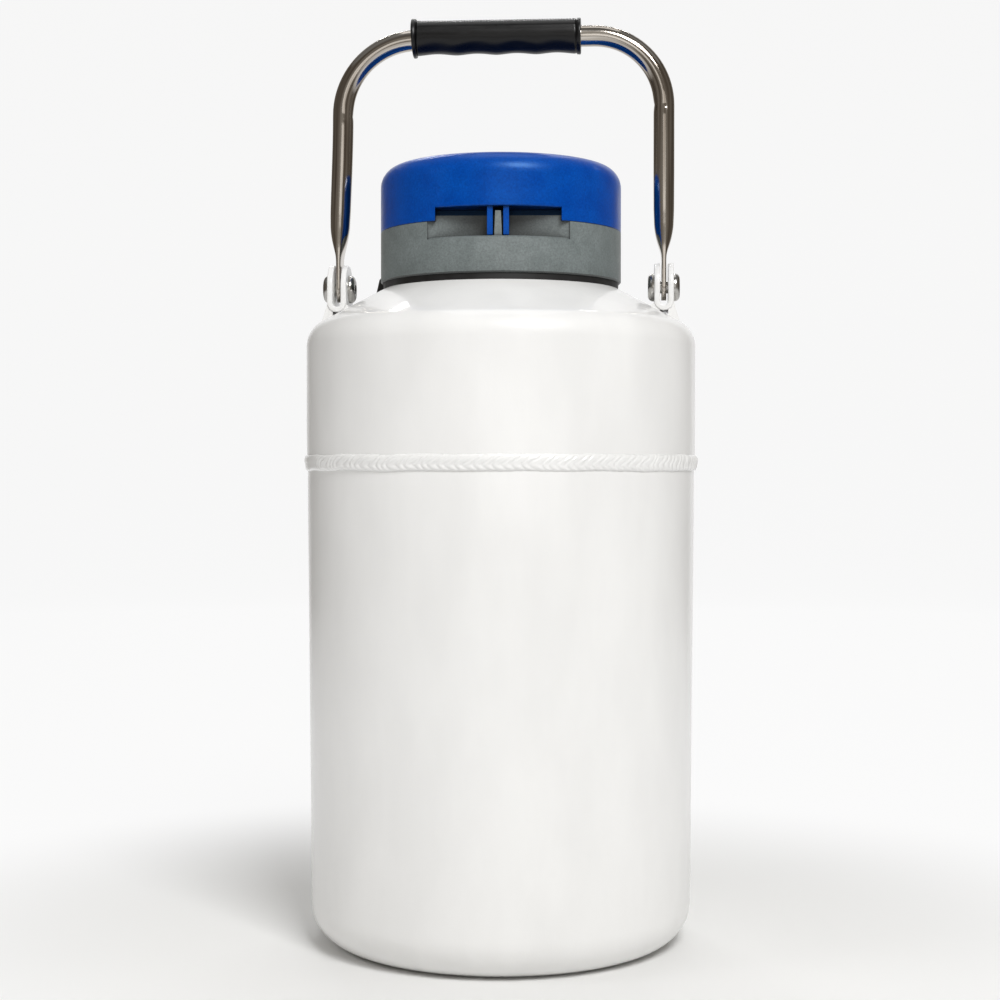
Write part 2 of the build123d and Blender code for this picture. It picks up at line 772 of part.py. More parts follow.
with BuildPart() as right_lug:
    with BuildSketch(Plane.XZ):
        for half_width, mode in ((lug_outer, Mode.ADD), (lug_gap / 2, Mode.SUBTRACT)):
            with Locations((lug_middle, lug_centre)):
                Circle(half_width, mode=mode)
                Rectangle(2 * half_width, lug_width, align=(Align.CENTER, Align.MIN), mode=mode)
    extrude(amount=lug_width / 2, both=True)
    with BuildSketch(Plane.YZ):
        with Locations((0, pivot_height)):
            Circle(lug_width / 2)
            Rectangle(lug_width, lug_width, align=(Align.CENTER, Align.MAX))
    extrude(amount=lug_middle + lug_outer, mode=Mode.INTERSECT)
    with BuildSketch(Plane.YZ):
        with Locations((0, pivot_height)):
            Circle(pivot_radius)
    extrude(amount=lug_middle + lug_outer, mode=Mode.SUBTRACT)

with BuildPart() as right_lug_weld:
    lug_left, lug_right = lug_middle - lug_outer, lug_middle + lug_outer
    toe_out, toe_in = lug_right + lug_weld_outer / 2, lug_left - lug_weld_inner
    root_out, root_in = lug_middle + lug_gap / 2, lug_left + lug_thickness
    weld_head = lug_centre - lug_outer + lug_weld_height / 2
    with BuildSketch(Plane.XZ):
        with BuildLine():
            Polyline(
                (lug_right, weld_head),
                (toe_out, cone_height(toe_out)),
                (toe_out, cone_height(toe_out) - lug_weld_bite),
                (root_out, cone_height(root_out) - lug_weld_bite),
                (root_out, weld_head),
                close=True,
            )
        make_face()
        with BuildLine():
            Polyline(
                (lug_left, weld_head),
                (toe_in, cone_height(toe_in)),
                (toe_in, cone_height(toe_in) - lug_weld_bite),
                (root_in, cone_height(root_in) - lug_weld_bite),
                (root_in, weld_head),
                close=True,
            )
        make_face()
    extrude(amount=lug_width / 2 - lug_weld_inset, both=True)
    add(shoulder_core.part, mode=Mode.SUBTRACT)
    with BuildSketch(Plane.XZ):
        with Locations((lug_middle, lug_centre)):
            Circle(lug_outer)
            Rectangle(2 * lug_outer, lug_width, align=(Align.CENTER, Align.MIN))
    extrude(amount=lug_width, both=True, mode=Mode.SUBTRACT)


def domed_pin(seat, outward, radius, length, bore_radius=0, bore_depth=0):
    """Pin on the bail's axis, its domed head at this distance from the dewar's axis, bored if asked."""
    with BuildPart() as pin:
        with BuildSketch(Plane.YZ.offset(seat)):
            with Locations((0, pivot_height)):
                Circle(pivot_head_radius)
        extrude(amount=outward * pivot_head_height)
        crown = edges().filter_by(GeomType.CIRCLE).sort_by(Axis.X, reverse=outward < 0)[-1]
        fillet(crown, pivot_head_round)
        with BuildSketch(Plane.YZ.offset(seat + outward * pivot_head_height)):
            with Locations((0, pivot_height)):
                RegularPolygon(pivot_drive_radius, 6)
        extrude(amount=-outward * pivot_drive_depth, mode=Mode.SUBTRACT)
        with BuildSketch(Plane.YZ.offset(seat)):
            with Locations((0, pivot_height)):
                Circle(radius)
        extrude(amount=-outward * length)
        if bore_radius:
            with BuildSketch(Plane.YZ.offset(seat - outward * length)):
                with Locations((0, pivot_height)):
                    Circle(bore_radius)
            extrude(amount=outward * bore_depth, mode=Mode.SUBTRACT)
    return pin


right_pivot_screw = domed_pin(lug_left, -1, pivot_screw_radius, pivot_screw_depth)
right_pivot_barrel = domed_pin(
    lug_right, 1, pivot_radius, 2 * lug_outer, pivot_screw_radius, pivot_screw_depth
)

right_pieces = {
    "lug": right_lug,
    "lug_weld": right_lug_weld,
    "pivot_barrel": right_pivot_barrel,
    "pivot_screw": right_pivot_screw,
}
left_pieces = {}
for name, right_piece in right_pieces.items():
    with BuildPart() as left_piece:
        mirror(right_piece.part, about=Plane.YZ)
    left_pieces[name] = left_piece

# ---- Bail and grip ----

round_height = pivot_height + bail_round_start

# Height above the pivot, thickness across and width along, as the tube goes from round to flat
flattening = [(bail_round_start, bail_tube, bail_tube)]
for drop, thinner, wider in bail_pressing:
    flattening.append((bail_round_start - drop, bail_tube - thinner, bail_tube + wider))
flattening.append((bail_flat_end, bail_flat_thickness, bail_flat_width))

with BuildPart() as handle_tube:
    with BuildLine(Plane.XZ) as bail_route:
        FilletPolyline(
            (-lug_middle, round_height),
            (-lug_middle, bar_height),
            (lug_middle, bar_height),
            (lug_middle, round_height),
            radius=bail_bend,
        )
    with BuildSketch(Plane((-lug_middle, 0, round_height))):
        Circle(tube_radius)
        Circle(tube_radius - bail_wall, mode=Mode.SUBTRACT)
    sweep(path=bail_route.line)
    for side in (-1, 1):
        for rise, thickness, width in flattening:
            with BuildSketch(Plane((side * lug_middle, 0, pivot_height + rise))):
                RectangleRounded(thickness, width, bail_edge_share * min(thickness, width))
        loft()
        with BuildSketch(Plane.YZ.offset(side * lug_middle)):
            with Locations((0, pivot_height)):
                Circle(bail_flat_width / 2)
                Rectangle(bail_flat_width, bail_flat_end, align=(Align.CENTER, Align.MIN))
                Circle(pivot_radius + pivot_play, mode=Mode.SUBTRACT)
        extrude(amount=bail_flat_thickness / 2, both=True)

with BuildPart() as handle_grip:
    with BuildSketch(Plane.YZ.offset(-grip_length / 2)):
        with Locations((0, bar_height)):
            Circle(grip_radius)
    extrude(amount=grip_length)
    # Finger waves along the underside
    groove_pitch = (grip_length - 2 * grip_flange_thickness) / grip_grooves
    half_chord = groove_pitch * grip_groove_share / 2
    groove_radius = (half_chord**2 + grip_groove_depth**2) / (2 * grip_groove_depth)
    groove_centre = bar_height - grip_radius + grip_groove_depth - groove_radius
    with BuildSketch(Plane.XZ):
        with Locations((0, groove_centre)):
            with GridLocations(groove_pitch, 1, grip_grooves, 1):
                Circle(groove_radius)
    extrude(amount=grip_flange_radius, both=True, mode=Mode.SUBTRACT)
    for side in (-1, 1):
        with BuildSketch(Plane.YZ.offset(side * grip_length / 2)):
            with Locations((0, bar_height)):
                Circle(grip_flange_radius)
        extrude(amount=-side * grip_flange_thickness)
    with BuildSketch(Plane.YZ.offset(-grip_length / 2)):
        with Locations((0, bar_height)):
            Circle(tube_radius)
    extrude(amount=grip_length, mode=Mode.SUBTRACT)

# ---- One STEP file for each piece ----

pieces = {
    "outer_can": outer_can,
    "outer_shoulder": outer_shoulder,
    "girth_weld": girth_weld,
    "neck_collar": neck_collar,
    "neck_tube": neck_tube,
    "inner_can": inner_can,
    "inner_dome": inner_dome,
    "inner_weld": inner_weld,
    "insulation_wrap": insulation_wrap,
    "adsorbent_ring": adsorbent_ring,
    "base_gasket": base_gasket,
    "lid_base_ring": lid_base_ring,
    "base_ring_screws": base_ring_screws,
    "canister_index_ring": canister_index_ring,
    "lid_cover": lid_cover,
    "lid_inner_plate": lid_inner_plate,
    "lid_foam": lid_foam,
    "lid_screws": lid_screws,
    "neck_plug": neck_plug,
    "vacuum_port_stub": vacuum_port_stub,
    "vacuum_port_plug": vacuum_port_plug,
    "vacuum_port_cap": vacuum_port_cap,
    "handle_tube": handle_tube,
    "handle_grip": handle_grip,
}
pieces.update(canisters)
pieces.update(canister_rods)
pieces.update({f"right_{name}": piece for name, piece in right_pieces.items()})
pieces.update({f"left_{name}": piece for name, piece in left_pieces.items()})

os.makedirs("parts", exist_ok=True)
for label, piece in pieces.items():
    piece.part.label = label
    export_step(piece.part, f"parts/{label}.step")
print(len(pieces), "pieces, pivot height", round(pivot_height, 2), "bar height", round(bar_height, 2))
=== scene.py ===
import json
import math

import bmesh
import bpy
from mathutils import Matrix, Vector, noise


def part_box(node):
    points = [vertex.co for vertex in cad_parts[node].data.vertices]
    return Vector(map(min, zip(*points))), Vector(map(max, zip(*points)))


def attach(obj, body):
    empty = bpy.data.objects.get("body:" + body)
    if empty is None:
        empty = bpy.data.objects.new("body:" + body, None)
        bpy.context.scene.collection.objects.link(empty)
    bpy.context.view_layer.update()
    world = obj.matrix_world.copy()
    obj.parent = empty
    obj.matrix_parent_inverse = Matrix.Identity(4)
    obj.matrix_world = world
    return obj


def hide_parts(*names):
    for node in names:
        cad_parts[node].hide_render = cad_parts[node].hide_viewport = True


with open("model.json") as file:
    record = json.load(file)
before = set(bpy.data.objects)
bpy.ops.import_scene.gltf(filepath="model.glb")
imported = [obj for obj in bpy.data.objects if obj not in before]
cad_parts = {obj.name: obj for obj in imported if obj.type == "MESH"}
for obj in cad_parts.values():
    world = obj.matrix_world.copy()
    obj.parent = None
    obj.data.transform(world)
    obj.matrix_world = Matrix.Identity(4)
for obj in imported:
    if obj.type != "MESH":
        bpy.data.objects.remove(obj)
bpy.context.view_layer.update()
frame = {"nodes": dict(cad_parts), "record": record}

# A liquid nitrogen dewar in white powder coat, with a grey and blue lid and a stainless bail.
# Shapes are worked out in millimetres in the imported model's own frame, then scaled to metres.

nodes = frame["nodes"]
metres = 0.001


def mmBox(node):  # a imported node's corners, in millimetres
    low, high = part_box(node)
    return low / metres, high / metres


def smoothStep(low, high, value):
    t = min(max((value - low) / (high - low), 0.0), 1.0)
    return t * t * (3 - 2 * t)


def alongTable(table, value, column):  # straight between the rows of a table
    if value <= table[0][0]:
        return table[0][column]
    for before, after in zip(table, table[1:]):
        if value <= after[0]:
            t = (value - before[0]) / (after[0] - before[0])
            return before[column] + t * (after[column] - before[column])
    return table[-1][column]


def arc(centreX, centreZ, radius, start, end, steps):  # degrees, in a section of radius and height
    angles = [math.radians(start + (end - start) * i / steps) for i in range(steps + 1)]
    return [(centreX + radius * math.cos(a), centreZ + radius * math.sin(a)) for a in angles]


def line(start, end, steps):  # without its first point
    return [(start[0] + (end[0] - start[0]) * i / steps, start[1] + (end[1] - start[1]) * i / steps)
            for i in range(1, steps + 1)]


def skinned(name, rows, wrapRows=False, capped=False, sharpAngle=38, grainRows=None):
    # a skin of quads between rows of points
    columns = len(rows[0])
    points = [Vector(point) * metres for row in rows for point in row]
    faces = []
    for i in range(len(rows) if wrapRows else len(rows) - 1):
        a, b = i * columns, (i + 1) % len(rows) * columns
        for j in range(columns):
            k = (j + 1) % columns
            faces.append((a + j, a + k, b + k, b + j))
    if capped:
        faces.append(tuple(range(columns)))
        faces.append(tuple(range(len(points) - columns, len(points))))
    mesh = bpy.data.meshes.new(name)
    mesh.from_pydata(points, [], faces)
    if grainRows:  # where a brushed grain lies: round the tube, and along it
        grain = mesh.attributes.new("grain", "FLOAT_VECTOR", "POINT")
        grain.data.foreach_set("vector", [v * metres for row in grainRows for spot in row for v in spot])
    work = bmesh.new()
    work.from_mesh(mesh)
    bmesh.ops.remove_doubles(work, verts=work.verts, dist=1e-6)
    bmesh.ops.recalc_face_normals(work, faces=work.faces)
    work.to_mesh(mesh)
    work.free()
    mesh.shade_smooth()
    mesh.set_sharp_from_angle(angle=math.radians(sharpAngle))
    piece = bpy.data.objects.new(name, mesh)
    bpy.context.scene.collection.objects.link(piece)
    return piece


def turned(name, profile, segments, push=None, wrapRows=True):  # a section spun round the dewar's axis
    rows = []
    for radius, height in profile:
        row = []
        for i in range(segments):
            angle = 2 * math.pi * i / segments
            r = radius + (push(angle, radius, height) if push and radius > 1 else 0)
            row.append((r * math.cos(angle), r * math.sin(angle), height))
        rows.append(row)
    return skinned(name, rows, wrapRows=wrapRows)


def place(piece, body, slotName, *replaced):  # ties a piece to its body and hides the imported nodes it replaces
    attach(piece, body)
    if replaced:
        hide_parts(*replaced)
    return piece


jacket = {
    "segments": 320,
    "wall": 2.0,
    "taper": 2.0,  # the can is this much narrower in radius above its base corner
    "baseCorner": 23.0,
    "footWidth": 26.0,
    "baseRecess": 7.0,
    "shoulderCorner": 16.0,
    "shoulderStraight": 66.3,
    "shoulderSlope": 28.0,
    "mouthRadius": 38.0,  # hole in the shoulder, over the neck's collar
    "dentDepth": 0.10,  # slow waves left by drawing and welding
    "dentSize": 55.0,
    "dentStretch": 0.6,  # they are longer up the wall than round it
    "weldPull": 0.22,  # how far the weld draws the wall in beside it
    "weldPullReach": 9.0,
}


def jacketPush(angle, radius, height):  # slow waves, and a slight waist each side of the weld
    upward = height * jacket["dentStretch"]
    where = Vector((math.cos(angle) * radius, math.sin(angle) * radius, upward)) / jacket["dentSize"]
    push = jacket["dentDepth"] * noise.noise(where)
    away = abs(height - weldHeight) / jacket["weldPullReach"]
    return push - jacket["weldPull"] * math.exp(-away * away)


canTop = mmBox("outer_can")[1]
weldHeight = canTop.z
canRadius = canTop.x
shoulderRadius = mmBox("outer_shoulder")[1].x


def makeCan():
    wall, corner = jacket["wall"], jacket["baseCorner"]
    baseRadius = canRadius - jacket["taper"]
    footOuter = baseRadius - corner
    footInner = footOuter - jacket["footWidth"]
    recess = jacket["baseRecess"]
    outside = [(footInner * i / 12, recess * (1 - (i / 12) ** 2)) for i in range(13)]  # domed inwards
    outside += line((footInner, 0), (footOuter, 0), 5)
    outside += arc(footOuter, corner, corner, -90, 0, 20)[1:]
    outside += line((baseRadius, corner), (canRadius, weldHeight), 60)
    inside = [(canRadius - wall, weldHeight), (baseRadius - wall, corner)]
    inside += arc(footOuter, corner, corner - wall, 0, -90, 12)[1:]
    inside += [(footInner, wall), (0, recess + wall)]
    can = turned("outerCan", outside + inside, jacket["segments"], jacketPush)
    return place(can, "vessel", "white_powder_coat", "outer_can")


def shoulderOutline(inset, coneSteps):  # up the wall, round the corner and up the cone
    slope = math.radians(jacket["shoulderSlope"])
    corner = jacket["shoulderCorner"]
    wallTop = weldHeight + jacket["shoulderStraight"]
    centre = shoulderRadius - corner
    outline = line((shoulderRadius - inset, weldHeight - 1e-3), (shoulderRadius - inset, wallTop), 24)
    outline += arc(centre, wallTop, corner - inset, 0, 90 - jacket["shoulderSlope"], 16)[1:]
    edge, edgeHeight = outline[-1]
    mouth = jacket["mouthRadius"]
    outline += line((edge, edgeHeight), (mouth, edgeHeight + (edge - mouth) * math.tan(slope)), coneSteps)
    return outline


def makeShoulder():
    outside = [(shoulderRadius, weldHeight)] + shoulderOutline(0, 20)
    inside = [(shoulderRadius - jacket["wall"], weldHeight)] + shoulderOutline(jacket["wall"], 4)
    shoulder = turned("outerShoulder", outside + inside[::-1], jacket["segments"], jacketPush)
    return place(shoulder, "vessel", "white_powder_coat", "outer_shoulder")


# The girth weld is a hand-laid bead with arrow-shaped ripples

weldBead = {
    "columns": 2000,
    "rows": 22,
    "halfWidth": 4.5,
    "proud": 1.6,
    "fullness": 3.2,  # of its section, and how steeply the edges turn under
    "steepness": 0.55,
    "bite": 0.25,  # its edges end just inside the wall
    "rootDepth": 0.8,
    "wander": 0.55,  # how far the whole bead strays up and down
    "edgeWander": 0.4,
    "pitch": 4.8,  # one ripple to the next
    "point": -0.3,  # height of the arrows' points, as a share of the half width
    "lag": 6.4,  # how far a ripple's ends trail behind its point
    "depth": 0.5,
    "fineDepth": 0.28,  # narrower ripples between, strongest above the points
    "pointRadius": 0.16,  # rounding of the points, in the same share
    "unevenness": 0.5,  # of a pitch, by which the ripples bunch and spread
    "uprightShare": 0.75,  # how much of the lag is lost where the welder sped up
    "uprightFrom": (-50, -15),  # degrees round the jacket, where that starts and ends
    "uprightTo": (60, 10),
    "startAngle": -151.0,  # smooth over the start of the bead, from here back to half a turn
    "lumpAngle": -7.0,  # blob where the torch stopped
    "lumpHeight": 0.35,
    "lumpLength": 5.0,
    "scallopDepth": 0.55,  # share of a ripple that lies below the bead's mean surface
    "fineRate": 1.5,  # narrow ripples to each wide one
}


def strayed(position, size, seed):  # smooth wander along the bead, the same at both ends of the turn
    return noise.noise(Vector((math.cos(position) * size, math.sin(position) * size, seed)))


def weldRipple(angle, v):  # height of the ripples; v runs from -1 at the bead's lower edge to 1
    degrees = math.degrees(angle)
    along = angle * (canRadius + shoulderRadius) / 2
    upright = smoothStep(*weldBead["uprightFrom"], degrees) * smoothStep(*weldBead["uprightTo"], degrees)
    lag = weldBead["lag"] * (1 - weldBead["uprightShare"] * upright)
    trail = math.hypot(v - weldBead["point"], weldBead["pointRadius"])
    phase = (along - lag * trail) / weldBead["pitch"]
    phase += weldBead["unevenness"] * strayed(angle, 14.0, 5.0)
    scallop = abs(math.sin(math.pi * phase)) - weldBead["scallopDepth"]
    fine = abs(math.sin(math.pi * phase * weldBead["fineRate"] + 0.6)) - 0.6
    upper = smoothStep(-0.4, 0.2, v)
    ripple = weldBead["depth"] * scallop * (1 - 0.35 * upper) + weldBead["fineDepth"] * fine * upper
    rippled = smoothStep(weldBead["startAngle"] - 2, weldBead["startAngle"] + 3, degrees)
    return ripple * (1 - abs(v) ** 6) * rippled


def weldLump(angle, v):  # height of the blob at the bead's end
    along = (angle - math.radians(weldBead["lumpAngle"])) * (canRadius + shoulderRadius) / 2
    return weldBead["lumpHeight"] * math.exp(-(along / weldBead["lumpLength"]) ** 2) * (1 - v * v)


def makeWeld():
    angles = [2 * math.pi * i / weldBead["columns"] - math.pi for i in range(weldBead["columns"])]
    rows = []
    for i in range(weldBead["rows"] + 1):
        v = -1 + 2 * i / weldBead["rows"]
        crown = weldBead["proud"] * (1 - abs(v) ** weldBead["fullness"]) ** weldBead["steepness"]
        surface = canRadius + (shoulderRadius - canRadius) * smoothStep(-0.4, 0.4, v)
        row = []
        for angle in angles:
            edge = weldBead["edgeWander"] * strayed(angle, 9.0, 3.0 if v > 0 else 8.0)
            middle = weldHeight + weldBead["wander"] * strayed(angle, 5.0, 1.0)
            height = middle + v * (weldBead["halfWidth"] + edge)
            r = surface + crown - weldBead["bite"] + weldRipple(angle, v) + weldLump(angle, v)
            row.append((r * math.cos(angle), r * math.sin(angle), height))
        rows.append(row)
    r = canRadius - weldBead["rootDepth"]
    for v in (1, -1):  # hidden root of the bead, just inside the jacket
        height = weldHeight + v * weldBead["halfWidth"] * 0.8
        rows.append([(r * math.cos(angle), r * math.sin(angle), height) for angle in angles])
    bead = skinned("girthWeldBead", rows, wrapRows=True, sharpAngle=60)
    return place(bead, "vessel", "white_powder_coat", "girth_weld")


# A lug is a bent strap with rounded ends

lug = {
    "thickness": 3.2,
    "edge": 0.7,  # rounding of its edges under the paint
    "pivotDrop": 13.8,  # from the top of the ears down to the pivot
    "cornerSteps": 4,
}


def roundedSection(halfA, halfB, radius, steps):  # corners of a rounded rectangle, in order
    radius = min(radius, halfA * 0.98, halfB * 0.98)
    points = []
    for signA, signB, start in ((1, 1, 0), (-1, 1, 90), (-1, -1, 180), (1, -1, 270)):
        for i in range(steps + 1):
            angle = math.radians(start + 90 * i / steps)
            points.append((signA * (halfA - radius) + radius * math.cos(angle),
                           signB * (halfB - radius) + radius * math.sin(angle)))
    return points


def makeLug(side):
    name = "right" if side > 0 else "left"
    low, high = mmBox(name + "_lug")
    middle = (low.x + high.x) / 2
    outer = (high.x - low.x) / 2
    half = (high.y - low.y) / 2
    bend = outer - lug["thickness"] / 2  # of the strap's middle layer
    top = high.z
    pivot = top - lug["pivotDrop"]
    foot = low.z + outer
    stations = []  # across, height, turn of the strap's face, half width
    ear = [math.radians(a) for a in (89, 86, 82, 77, 70, 60, 48, 34, 18, 0)]
    for angle in ear:
        stations.append((bend, pivot + half * math.sin(angle), 0, half * math.cos(angle)))
    stations.append((bend, (pivot + foot) / 2, 0, half))
    for i in range(13):
        turn = math.pi * i / 12
        stations.append((bend * math.cos(turn), foot - bend * math.sin(turn), turn, half))
    stations.append((-bend, (pivot + foot) / 2, math.pi, half))
    for angle in reversed(ear):
        stations.append((-bend, pivot + half * math.sin(angle), math.pi, half * math.cos(angle)))
    rows = []
    for across, height, turn, halfWidth in stations:
        near = max(0.0, height - (top - lug["edge"]))
        thin = lug["edge"] - math.sqrt(max(lug["edge"] ** 2 - near * near, 0))
        halfThick = lug["thickness"] / 2 - thin
        row = []
        for a, b in roundedSection(halfThick, max(halfWidth, 0.2), lug["edge"], lug["cornerSteps"]):
            row.append((middle + across + a * math.cos(turn), b, height - a * math.sin(turn)))
        rows.append(row)
    strap = skinned(name + "LugStrap", rows, capped=True, sharpAngle=60)
    return place(strap, "vessel", "white_powder_coat", name + "_lug")


# The bail is a stainless tube, pressed flat at both ends

bail = {
    "diameter": 12.0,
    "leftBend": 43.0,  # bent by hand on a former, so the two differ
    "rightBend": 40.0,
    "bladeEnd": 7.6,  # the blade's rounded end below the pivot
    "columns": 56,
    # height above the pivot, thickness, width and squareness as the tube is pressed flat
    "flattening": (
        (-7.6, 2.8, 15.2, 6.0), (16.5, 2.8, 15.2, 6.0), (20.0, 3.8, 15.3, 4.6), (23.5, 6.4, 15.1, 2.9),
        (28.0, 9.0, 14.4, 2.3), (34.0, 11.1, 13.3, 2.1), (44.0, 11.8, 12.3, 2.0), (66.0, 12.0, 12.0, 2.0),
    ),
    "dieMark": 0.75,  # dent left by the bending die at the start of each bend
    "dieMarkLength": 2.2,
    "ovality": 0.2,  # flattening in the bends
    "leftLean": 2.0,  # the left leg leans in towards the top
    "leftSag": 1.0,  # and the bar hangs lower at that end
}


def pressed(rise, column):  # the flattening table, softened over a few millimetres
    samples = [alongTable(bail["flattening"], rise + shift, column) for shift in (-2, -1, 0, 1, 2)]
    return sum(samples) / len(samples)


def legStations(half, pivot, bar, bend):  # up one leg and round its bend: place across, height and turn
    bendStart = bar - bend
    rises = [-bail["bladeEnd"] * math.cos(math.radians(a)) for a in (3, 10, 20, 32, 46, 60, 75, 90)]
    rises += [4, 10] + [14 + 1.2 * i for i in range(46)]
    rises += [70 + 2 * i for i in range(int((bendStart - pivot - 70) / 2) + 1)]
    stations = [(half, pivot + rise, 0.0) for rise in rises]
    for i in range(1, 25):
        turn = math.pi / 2 * i / 24
        stations.append((half - bend + bend * math.cos(turn), bendStart + bend * math.sin(turn), turn))
    return stations


def makeBail():
    low, high = mmBox("handle_tube")
    half = high.x - bail["diameter"] / 2
    pivot = low.z + bail["bladeEnd"]
    bar = high.z - bail["diameter"] / 2
    left = legStations(half, pivot, bar, bail["leftBend"])
    right = legStations(half, pivot, bar, bail["rightBend"])
    start, end = -half + bail["leftBend"], half - bail["rightBend"]
    stations = [(-x, z, turn) for x, z, turn in left]
    stations += [(start + (end - start) * i / 20, bar, math.pi / 2) for i in range(1, 20)]
    stations += [(x, z, math.pi - turn) for x, z, turn in reversed(right)]
    rows, grainRows, along = [], [], 0.0
    before = stations[0]
    for x, z, turn in stations:
        along += math.hypot(x - before[0], z - before[1])
        before = (x, z)
        leftness = smoothStep(half * 0.6, -half * 0.6, x)
        lean = bail["leftLean"] * smoothStep(pivot + 20, bar - bail["leftBend"], z) * leftness
        sag = bail["leftSag"] * smoothStep(pivot + 60, bar, z) * leftness
        rise = z - pivot
        bending = math.sin(2 * min(turn, math.pi - turn)) if 0 < turn < math.pi else 0
        if turn in (0.0, math.pi):
            thick, wide, square = (pressed(rise, c) for c in (1, 2, 3))
            if rise < 0:
                wide = 2 * math.sqrt(max(bail["bladeEnd"] ** 2 - rise * rise, 0.04))
        else:
            thick, wide, square = bail["diameter"], bail["diameter"], 2.0
        thick -= bail["ovality"] * abs(bending)
        bendStart = bar - bail["leftBend" if x < 0 else "rightBend"]
        die = math.exp(-((z - bendStart) / bail["dieMarkLength"]) ** 2) if turn != math.pi / 2 else 0
        row, grainRow = [], []
        for i in range(bail["columns"]):
            angle = 2 * math.pi * i / bail["columns"]
            c, s = math.cos(angle), math.sin(angle)
            across = thick / 2 * math.copysign(abs(c) ** (2 / square), c)
            deep = wide / 2 * math.copysign(abs(s) ** (2 / square), s)
            dent = bail["dieMark"] * die
            across += 0.6 * dent * max(-c, 0) ** 2
            deep += dent * max(-s, 0) ** 4
            row.append((x + lean - across * math.cos(turn), deep, z - sag + across * math.sin(turn)))
            grainRow.append((c * bail["diameter"] / 2, s * bail["diameter"] / 2, along))
        rows.append(row)
        grainRows.append(grainRow)
    tube = skinned("bailTube", rows, capped=True, sharpAngle=50, grainRows=grainRows)
    return place(tube, "handle", "stainless_polished", "handle_tube")


# The grip is a moulded sleeve with a ribbed back and finger waves

grip = {
    "columns": 120,
    "steps": 260,
    "radius": 9.8,
    "boreRadius": 6.02,
    "flangeThickness": 2.6,
    "flangeGroove": 0.35,
    "saddleAngle": 64.0,  # the raised back reaches this far each side of the top
    "saddleStep": 0.3,
    "ribAngle": 38.0,  # fine cross ribs, each side of the top
    "ribPitch": 1.6,
    "ribDepth": 0.36,
    "waveCount": 4,
    "waveDepth": 0.85,
    "flangeSkew": 0.5,  # the left flange leans and ripples
    "flangeRipple": 0.12,
    "slide": -2.5,  # it has crept along the bar
    "leftFlange": 11.2,
    "rightFlange": 10.3,
}


def gripRing(x, centre, radii, skew=0.0):  # one ring of points, which may lean like a bent flange
    row = []
    for i, r in enumerate(radii):
        angle = 2 * math.pi * i / grip["columns"]
        c, s = math.cos(angle), math.sin(angle)
        lean = skew * s + grip["flangeRipple"] * noise.noise(Vector((c, s, x)) * 2.0) if skew else 0
        row.append((x + grip["slide"] + lean, r * c, centre + r * s))
    return row


def sleeveRadius(x, angle, inner):  # raised and ribbed on top, with finger waves below
    top = abs((math.degrees(angle) - 90 + 180) % 360 - 180)  # degrees away from the top
    saddle = smoothStep(grip["saddleAngle"] + 3, grip["saddleAngle"] - 1, top)
    rib = 0.5 + 0.5 * math.cos(2 * math.pi * x / grip["ribPitch"])
    rib *= smoothStep(grip["ribAngle"], grip["ribAngle"] - 6, top) * smoothStep(inner, inner - 3, abs(x))
    wave = 0.5 - 0.5 * math.cos(2 * math.pi * (x / (2 * inner) + 0.5) * grip["waveCount"])
    wave = wave ** 0.8 * smoothStep(95, 140, top)
    return grip["radius"] + grip["saddleStep"] * saddle - grip["ribDepth"] * rib - grip["waveDepth"] * wave


def flangeRings(radius):  # distance in from the grip's end, radius, share of the skew
    thickness = grip["flangeThickness"]
    return ((0.0, grip["boreRadius"], 0.0), (0.0, radius - 0.7, 1.0), (0.2, radius - 0.1, 1.0),
            (0.8, radius, 1.0), (thickness - 0.5, radius - 0.15, 0.5), (thickness - 0.1, radius - 0.6, 0.0),
            (thickness + 0.1, grip["radius"] - grip["flangeGroove"], 0.0))


def makeGrip():
    low, high = mmBox("handle_grip")
    half = (high.x - low.x) / 2
    centre = (high.z + low.z) / 2
    inner = half - grip["flangeThickness"]
    columns, steps = grip["columns"], grip["steps"]
    rows = [gripRing(-half + inset, centre, [radius] * columns, -grip["flangeSkew"] * share)
            for inset, radius, share in flangeRings(grip["leftFlange"])]
    for i in range(2, steps - 1):
        x = -inner + 2 * inner * i / steps
        radii = [sleeveRadius(x, 2 * math.pi * j / columns, inner) for j in range(columns)]
        rows.append(gripRing(x, centre, radii))
    rows += [gripRing(half - inset, centre, [radius] * columns)
             for inset, radius, share in reversed(flangeRings(grip["rightFlange"]))]
    sleeveObject = skinned("gripSleeve", rows, wrapRows=True, sharpAngle=45)
    return place(sleeveObject, "handle", "black_grip_rubber", "handle_grip")


def linear(hexColour):  # sRGB hex to the linear colour that nodes take
    channels = [int(hexColour[i:i + 2], 16) / 255 for i in (0, 2, 4)]
    return [c / 12.92 if c <= 0.04045 else ((c + 0.055) / 1.055) ** 2.4 for c in channels] + [1.0]


def addNode(tree, kind, settings=None, links=None):
    node = tree.nodes.new("ShaderNode" + kind)
    for name, value in (settings or {}).items():
        if isinstance(name, int) or name in node.inputs:
            node.inputs[name].default_value = value
        else:
            setattr(node, name, value)
    for name, source in (links or {}).items():
        tree.links.new(source, node.inputs[name])
    return node


def perMetre(size):  # texture scale for a feature of this size in millimetres
    return 1000 / size


